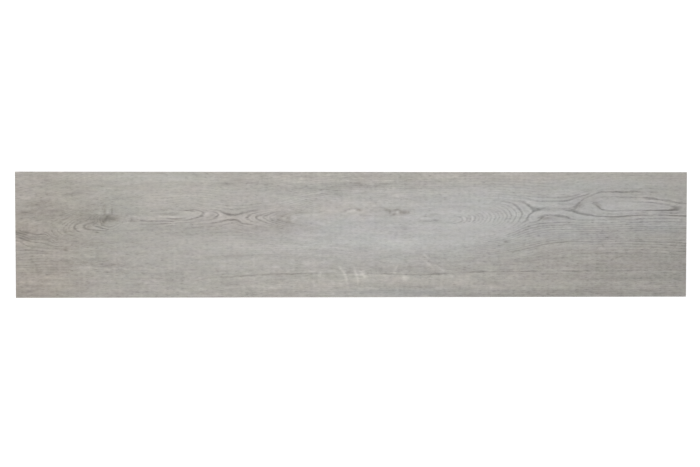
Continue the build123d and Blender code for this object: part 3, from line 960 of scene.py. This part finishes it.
# %% Colour
SEEN_TO_LIGHT = 2.2
MIDDLE_WARMTH = 0.45
DRIFT_LEAST = 0.1
DRIFT_MOST = 0.9
COOL = (1.012, 1.0, 0.970, 1)
WARM = (1.085, 1.0, 0.875, 1)
GREENISH = (0.984, 1.005, 0.990, 1)
ROSY = (1.016, 0.995, 1.010, 1)
YELLOWISH = (1.0, 1.0, 0.960, 1)
BLUISH = (1.0, 1.0, 1.040, 1)
light = add(oak, "Math", {0: shade, 1: SEEN_TO_LIGHT}, operation="POWER", use_clamp=True)
warm_share = add(oak, "Math", {0: attribute["warmth"], 1: MIDDLE_WARMTH}, operation="ADD", use_clamp=True)
tint = add(oak, "Mix", {0: warm_share, 6: COOL, 7: WARM}, data_type="RGBA").outputs[2]
drift_range = {0: layers["drift"], 1: NOISE_LOW, 2: NOISE_HIGH, 3: DRIFT_LEAST, 4: DRIFT_MOST}
drift_share = add(oak, "MapRange", drift_range)
drift_share = add(oak, "Math", {0: drift_share, 1: attribute["rosiness"]}, operation="ADD", use_clamp=True)
drift = add(oak, "Mix", {0: drift_share, 6: GREENISH, 7: ROSY}, data_type="RGBA").outputs[2]
tinge = add(oak, "Mix", {0: layers["tinge"], 6: YELLOWISH, 7: BLUISH}, data_type="RGBA").outputs[2]
tint = add(oak, "VectorMath", {0: tint, 1: drift}, operation="MULTIPLY")
tint = add(oak, "VectorMath", {0: tint, 1: tinge}, operation="MULTIPLY")
colour = add(oak, "VectorMath", {0: tint, "Scale": light}, operation="SCALE")
print("grey", round(GREY ** SEEN_TO_LIGHT, 2), "of the light comes back")

# %% [markdown]
# The wear layer is clear polyurethane with a fine matting agent, so its sheen is satin: a roughness near
# 0.42 and the usual index of a clear plastic, 1.5. The press roughens it a little along the fibres, and the
# pores are too fine for the mesh, so they are bump.

# %% Sheen and fine relief
PORE_RELIEF = 0.05
BUMP_SHARE = 0.8
DULLEST = 0.46
GLOSSIEST = 0.38
CLEAR_IOR = 1.5
fine_height = add(oak, "Math", {0: layers["fibres"], 1: pores}, operation="SUBTRACT")
bump = add(oak, "Bump", {"Height": fine_height, "Distance": PORE_RELIEF * MM, "Strength": BUMP_SHARE})
sheen_range = {0: layers["fibres"], 1: NOISE_LOW, 2: NOISE_HIGH, 3: DULLEST, 4: GLOSSIEST}
film_roughness = add(oak, "MapRange", sheen_range)
film_look = {"Base Color": colour, "Roughness": film_roughness, "IOR": CLEAR_IOR, "Normal": bump}
add(oak, "OutputMaterial", {"Surface": add(oak, "BsdfPrincipled", film_look)})
mesh.materials.append(film)
print("face finished with", len(oak.nodes), "nodes")

# %% [markdown]
# ## The cut edge and the back
# A punch cuts through filled vinyl in two stages. It shears the upper part, which is left smooth and fairly
# dark, and the rest tears, which is paler and rougher because it breaks round the grains of limestone. The
# punch drags fine marks down both. A flat grey would pass from above, but neighbours are laid against this
# edge, so it has a finish of its own. Each part mixes two greys, the vinyl's and that of its limestone.

# %% Marks of the punch
TORN_HEIGHT = 1.2
RAGGED = 0.9
DRAG_WIDTH = 0.5
DRAG_HEIGHT = 6
SPECKS_PER_MM = 3.6
SPECK_START = 0.45
SPECK_FULL = 0.70
edge, cut = new_material("filled_vinyl_punched")
cut_place = place_in_mm(cut)
drag_stretch = (1 / DRAG_WIDTH, 1 / DRAG_WIDTH, 1 / DRAG_HEIGHT)
drawn_down = add(cut, "VectorMath", {0: cut_place, 1: drag_stretch}, operation="MULTIPLY")
drag = add(cut, "TexNoise", {"Vector": drawn_down, "Scale": 1, "Detail": 3})
specks = add(cut, "TexNoise", {"Vector": cut_place, "Scale": SPECKS_PER_MM, "Detail": 2})
limestone = add(cut, "MapRange", {0: specks, 1: SPECK_START, 2: SPECK_FULL})
height = add(cut, "SeparateXYZ", {0: cut_place}).outputs["Z"]
ragged_height = add(cut, "Math", {0: drag, 1: RAGGED, 2: height}, operation="MULTIPLY_ADD")
torn = add(cut, "MapRange", {0: ragged_height, 1: TORN_HEIGHT, 2: TORN_HEIGHT + RAGGED, 3: 1, 4: 0})
print("the torn part of the edge ends about", round(TORN_HEIGHT + RAGGED / 2, 2), "mm up")

# %% Cut edge
SHEARED_VINYL = linear("#73706b")
SHEARED_LIMESTONE = linear("#8c8983")
TORN_VINYL = linear("#85827c")
TORN_LIMESTONE = linear("#aeaaa2")
SHEARED_ROUGHNESS = 0.5
TORN_ROUGHNESS = 0.8
DRAG_RELIEF = 0.03
VINYL_IOR = 1.53
sheared_mix = {0: limestone, 6: SHEARED_VINYL, 7: SHEARED_LIMESTONE}
sheared = add(cut, "Mix", sheared_mix, data_type="RGBA").outputs[2]
broken = add(cut, "Mix", {0: limestone, 6: TORN_VINYL, 7: TORN_LIMESTONE}, data_type="RGBA").outputs[2]
cut_colour = add(cut, "Mix", {0: torn, 6: sheared, 7: broken}, data_type="RGBA").outputs[2]
cut_roughness = add(cut, "MapRange", {0: torn, 3: SHEARED_ROUGHNESS, 4: TORN_ROUGHNESS})
rough_height = add(cut, "Math", {0: limestone, 1: torn, 2: drag}, operation="MULTIPLY_ADD")
cut_bump = add(cut, "Bump", {"Height": rough_height, "Distance": DRAG_RELIEF * MM, "Strength": BUMP_SHARE})
edge_look = {"Base Color": cut_colour, "Roughness": cut_roughness, "IOR": VINYL_IOR, "Normal": cut_bump}
add(cut, "OutputMaterial", {"Surface": add(cut, "BsdfPrincipled", edge_look)})
mesh.materials.append(edge)
print("edge finished with", len(cut.nodes), "nodes")

# %% [markdown]
# The back is calendered vinyl: rollers press a fine weave into it, which takes the glue. Two sine waves
# multiplied make the weave, a chequer of soft pillows. It is far too fine for the mesh, so it is bump. Long
# faint streaks run the way the sheet was rolled, with a little dust over them.

# %% Weave of the back
WEAVE_PITCH = 1.6
WEAVE_RELIEF = 0.06
WEAVE_BUMP_SHARE = 0.7
back, calendered = new_material("vinyl_backing_calendered")
back_place = place_in_mm(calendered)
radians_per_mm = math.tau / WEAVE_PITCH
weave_place = add(calendered, "VectorMath", {0: back_place, "Scale": radians_per_mm}, operation="SCALE")
weave_axes = add(calendered, "SeparateXYZ", {0: weave_place})
warp = add(calendered, "Math", {0: weave_axes.outputs["X"]}, operation="SINE")
weft = add(calendered, "Math", {0: weave_axes.outputs["Y"]}, operation="SINE")
weave = add(calendered, "Math", {0: warp, 1: weft}, operation="MULTIPLY")
weave_relief = {"Height": weave, "Distance": WEAVE_RELIEF * MM, "Strength": WEAVE_BUMP_SHARE}
back_bump = add(calendered, "Bump", weave_relief)
print("weave", WEAVE_PITCH, "mm from thread to thread")

# %% Back
ROLLED_LENGTH = 333.3
ROLLED_WIDTH = 6.25
DUST_PER_MM = 0.9
DARK_BELOW = 0.7
PALE_ABOVE = 1.3
DARK_BACK = linear("#6b6965")
PALE_BACK = linear("#8f8d88")
BACK_ROUGHNESS = 0.6
rolled_stretch = (1 / ROLLED_LENGTH, 1 / ROLLED_WIDTH, 1)
rolled_place = add(calendered, "VectorMath", {0: back_place, 1: rolled_stretch}, operation="MULTIPLY")
rolled_inputs = {"Vector": rolled_place, "Scale": 1, "Detail": 3}
rolled = add(calendered, "TexNoise", rolled_inputs, noise_dimensions="2D")
dust = add(calendered, "TexNoise", {"Vector": back_place, "Scale": DUST_PER_MM, "Detail": 4})
uneven = add(calendered, "Math", {0: rolled, 1: dust}, operation="ADD")
uneven = add(calendered, "MapRange", {0: uneven, 1: DARK_BELOW, 2: PALE_ABOVE})
back_colour = add(calendered, "Mix", {0: uneven, 6: DARK_BACK, 7: PALE_BACK}, data_type="RGBA").outputs[2]
back_look = {"Base Color": back_colour, "Roughness": BACK_ROUGHNESS, "IOR": VINYL_IOR, "Normal": back_bump}
add(calendered, "OutputMaterial", {"Surface": add(calendered, "BsdfPrincipled", back_look)})
mesh.materials.append(back)
print("back finished with", len(calendered.nodes), "nodes")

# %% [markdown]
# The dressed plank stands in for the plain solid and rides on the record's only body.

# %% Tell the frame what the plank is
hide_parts("vinyl_plank")
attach(plank, "root")
print("plank stands in for vinyl_plank")

# %% [markdown]
# ## Studio
# The plank lies on a white sweep under even light, so its face shows as it is and its edges have no shadow.
# A white world gives light from all round, and one soft panel overhead makes the middle a little brighter.
# The sweep's far sides stand up, so that a low view ends in white paper too.

# %% Floor
FLOOR_DROP = 0.0001
FLOOR_REACH = 30.0
SIDE_HEIGHT = 8.0
PAPER = (0.85, 0.85, 0.85, 1)
WHITE = (1, 1, 1, 1)
PAPER_ROUGHNESS = 0.9
PAPER_GLOW = 0.4
corners = [(-1, -1), (1, -1), (1, 1), (-1, 1)]
floor_mesh = bpy.data.meshes.new("floor")
floor_mesh.from_pydata(
    [(x * FLOOR_REACH, y * FLOOR_REACH, z) for z in (-FLOOR_DROP, SIDE_HEIGHT) for x, y in corners],
    [], [(0, 1, 2, 3), (1, 0, 4, 5), (2, 1, 5, 6), (3, 2, 6, 7), (0, 3, 7, 4)],
)
floor = bpy.data.objects.new("floor", floor_mesh)
bpy.context.scene.collection.objects.link(floor)
sweep, paper = new_material("white_sweep")
paper_look = {
    "Base Color": PAPER, "Roughness": PAPER_ROUGHNESS,
    "Emission Color": WHITE, "Emission Strength": PAPER_GLOW,
}
add(paper, "OutputMaterial", {"Surface": add(paper, "BsdfPrincipled", paper_look)})
floor_mesh.materials.append(sweep)
print("sweep", 2 * FLOOR_REACH, "m wide, with sides", SIDE_HEIGHT, "m high")

# %% Light
WORLD_STRENGTH = 0.75
PANEL_SIZE = (1.4, 1.0)
PANEL_POWER = 8.6
PANEL_PLACE = (-0.05, 0.35, 1.9)
PANEL_TILT = -10
scene = bpy.context.scene
world = bpy.data.worlds.new("studio")
scene.world = world
world.use_nodes = True
background = world.node_tree.nodes["Background"]
background.inputs["Color"].default_value = WHITE
background.inputs["Strength"].default_value = WORLD_STRENGTH
panel = bpy.data.lights.new("overhead_panel", "AREA")
panel.shape = "RECTANGLE"
panel.size, panel.size_y = PANEL_SIZE
panel.energy = PANEL_POWER
panel_object = bpy.data.objects.new("overhead_panel", panel)
panel_object.location = PANEL_PLACE
panel_object.rotation_euler = (math.radians(PANEL_TILT), 0, 0)
scene.collection.objects.link(panel_object)
print("panel", PANEL_SIZE[0], "by", PANEL_SIZE[1], "m,", PANEL_PLACE[2], "m up")

# %% [markdown]
# The camera looks down on the plank from 1.77 m. It stands 4 cm to the left of the middle and 4 cm behind
# it, and turns back towards the middle, because the plank's sides taper a little in the picture.

# %% Camera
CAMERA_PLACE = (-0.0435, 0.0438, 1.7682)
TURN_TO_FRONT = -1.352
TURN_TO_RIGHT = -1.211
LENS = 50.0
SENSOR_WIDTH = 36.0
camera = bpy.data.cameras.new("camera")
camera.lens = LENS
camera.sensor_width = SENSOR_WIDTH
camera_object = bpy.data.objects.new("camera", camera)
camera_object.location = CAMERA_PLACE
camera_object.rotation_euler = (math.radians(TURN_TO_FRONT), math.radians(TURN_TO_RIGHT), 0.0)
scene.collection.objects.link(camera_object)
scene.camera = camera_object
scene.view_settings.view_transform = "Standard"
print("camera", CAMERA_PLACE[2], "m above the floor")
